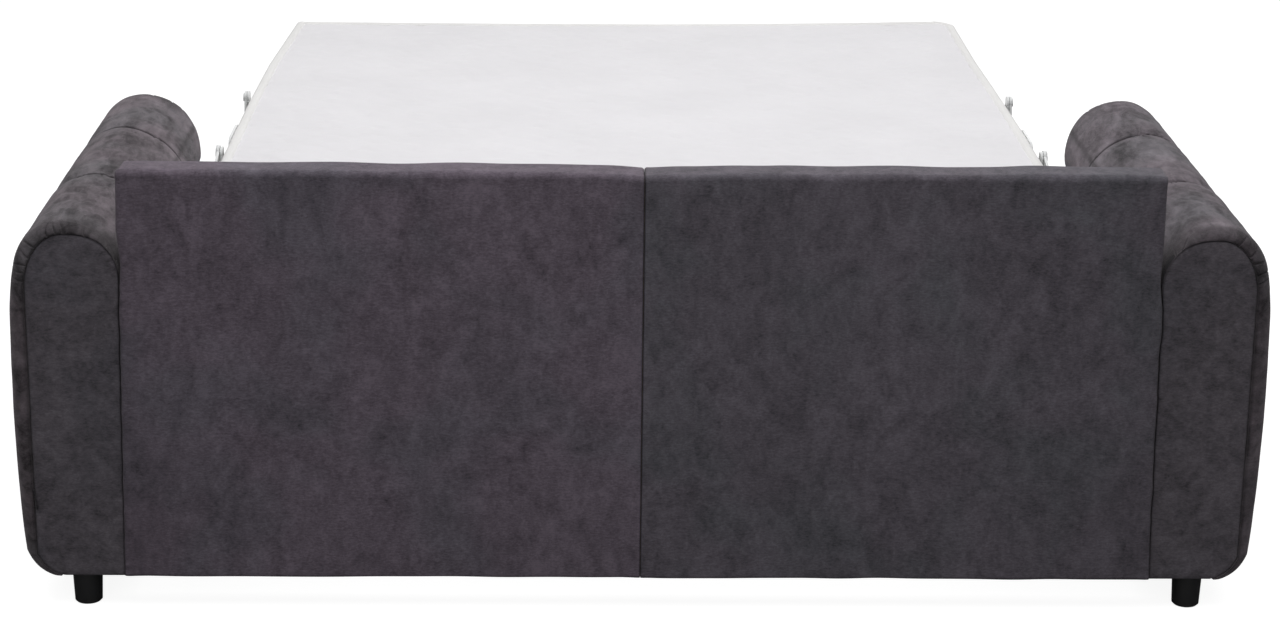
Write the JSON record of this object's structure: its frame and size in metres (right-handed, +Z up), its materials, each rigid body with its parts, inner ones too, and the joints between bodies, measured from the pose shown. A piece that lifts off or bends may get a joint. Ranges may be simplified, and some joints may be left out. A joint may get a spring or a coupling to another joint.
{
  "type": "sofa bed",
  "caption": "Two-seat sofa bed whose seat and back turn over to carry a folding mattress, with rolled padded arms, a low rear panel and folding tube legs.",
  "frame": {"origin": "centre of the open bed's plan, on the floor", "axes": "+X to the sitter's left, +Y towards the rear panel, +Z up; the bed opens towards -Y"},
  "size_m": [2.09, 2.31, 0.7598],
  "materials": {
    "cover_fabric": "mottled dark grey suede-like microfibre with a faint plum cast",
    "cushion_fabric": "the same microfibre on soft cushions",
    "mattress_ticking": "white quilted ticking with a plain side band and ivory tape edges",
    "plywood": "bare sanded plywood and softwood",
    "frame_steel": "grey satin powder coat",
    "plate_steel": "light grey satin powder coat on flat plates",
    "zinc_steel": "bright zinc plated",
    "foot_plastic": "black satin moulded plastic",
    "tip_rubber": "black rubber"
  },
  "bodies": {
    "root": {"arm_frame_left": "plywood", "arm_frame_right": "plywood", "arm_padding_left": "cover_fabric", "arm_padding_right": "cover_fabric", "arm_lining_left": "cover_fabric", "arm_lining_right": "cover_fabric", "rear_facing_left": "cover_fabric", "rear_facing_right": "cover_fabric", "front_facing_left": "cover_fabric", "front_facing_right": "cover_fabric", "rear_panel_board": "plywood", "rear_cover_left": "cover_fabric", "rear_cover_right": "cover_fabric", "front_rail_board": "plywood", "front_rail_cover": "cover_fabric", "rear_foot_left": "foot_plastic", "rear_foot_right": "foot_plastic", "front_foot_left": "foot_plastic", "front_foot_right": "foot_plastic", "foot_studs": "zinc_steel", "side_plate_left": "plate_steel", "side_plate_right": "plate_steel", "side_plate_bolts": "zinc_steel", "main_pivot_pins": "zinc_steel", "link_root_pins": "zinc_steel"},
    "seat_section": {"seat_frame": "frame_steel", "seat_plate_left": "plate_steel", "seat_plate_right": "plate_steel", "seat_hinge_pins": "zinc_steel", "head_mattress": "mattress_ticking", "seat_cushion_left": "cushion_fabric", "seat_cushion_right": "cushion_fabric", "fascia_board": "plywood", "fascia_cover": "cover_fabric"},
    "back_section": {"back_frame": "frame_steel", "back_plate_left": "plate_steel", "back_plate_right": "plate_steel", "fold_pins": "zinc_steel", "link_back_pins": "zinc_steel", "middle_mattress": "mattress_ticking", "back_cushion_left": "cushion_fabric", "back_cushion_right": "cushion_fabric"},
    "foot_section": {"foot_frame": "frame_steel", "leg_cross_tubes": "frame_steel", "leg_lugs": "frame_steel", "foot_plate_left": "plate_steel", "foot_plate_right": "plate_steel", "leg_pins": "zinc_steel", "foot_mattress": "mattress_ticking"},
    "inner_legs": {"inner_leg_frame": "frame_steel", "inner_leg_tips": "tip_rubber"},
    "outer_legs": {"outer_leg_frame": "frame_steel", "outer_leg_tips": "tip_rubber"},
    "link_left": {"control_link_left": "plate_steel"},
    "link_right": {"control_link_right": "plate_steel"}
  },
  "joints": [
    {"name": "seat_turnover", "type": "hinge", "parent": "root", "child": "seat_section", "pos_m": [0, 0.50495, 0.37735], "axis": [-1, 0, 0], "range_deg": [0, 180]},
    {"name": "back_tilt", "type": "hinge", "parent": "seat_section", "child": "back_section", "pos_m": [0, 0.225, 0.4147], "axis": [1, 0, 0], "range_deg": [0, 90]},
    {"name": "foot_fold", "type": "hinge", "parent": "back_section", "child": "foot_section", "pos_m": [0, -0.315, 0.5455], "axis": [-1, 0, 0], "range_deg": [0, 179.8]},
    {"name": "inner_leg_fold", "type": "hinge", "parent": "foot_section", "child": "inner_legs", "pos_m": [0, -0.375, 0.3927], "axis": [-1, 0, 0], "range_deg": [0, 90]},
    {"name": "outer_leg_fold", "type": "hinge", "parent": "foot_section", "child": "outer_legs", "pos_m": [0, -1.095, 0.3927], "axis": [1, 0, 0], "range_deg": [0, 90]},
    {"name": "link_turn_left", "type": "hinge", "parent": "root", "child": "link_left", "pos_m": [0.8145, 0.50575, 0.41661], "axis": [-1, 0, 0], "range_deg": [0, 159.64]},
    {"name": "link_turn_right", "type": "hinge", "parent": "root", "child": "link_right", "pos_m": [-0.8145, 0.50575, 0.41661], "axis": [-1, 0, 0], "range_deg": [0, 159.64]}
  ],
  "couplings": [
    {"joint": "back_tilt", "follows": "seat_turnover", "ratio": 0.5},
    {"joint": "link_turn_left", "follows": "seat_turnover", "ratio": 0.88686},
    {"joint": "link_turn_right", "follows": "seat_turnover", "ratio": 0.88686},
    {"joint": "inner_leg_fold", "follows": "foot_fold", "ratio": 0.5},
    {"joint": "outer_leg_fold", "follows": "foot_fold", "ratio": 0.5}
  ]
}
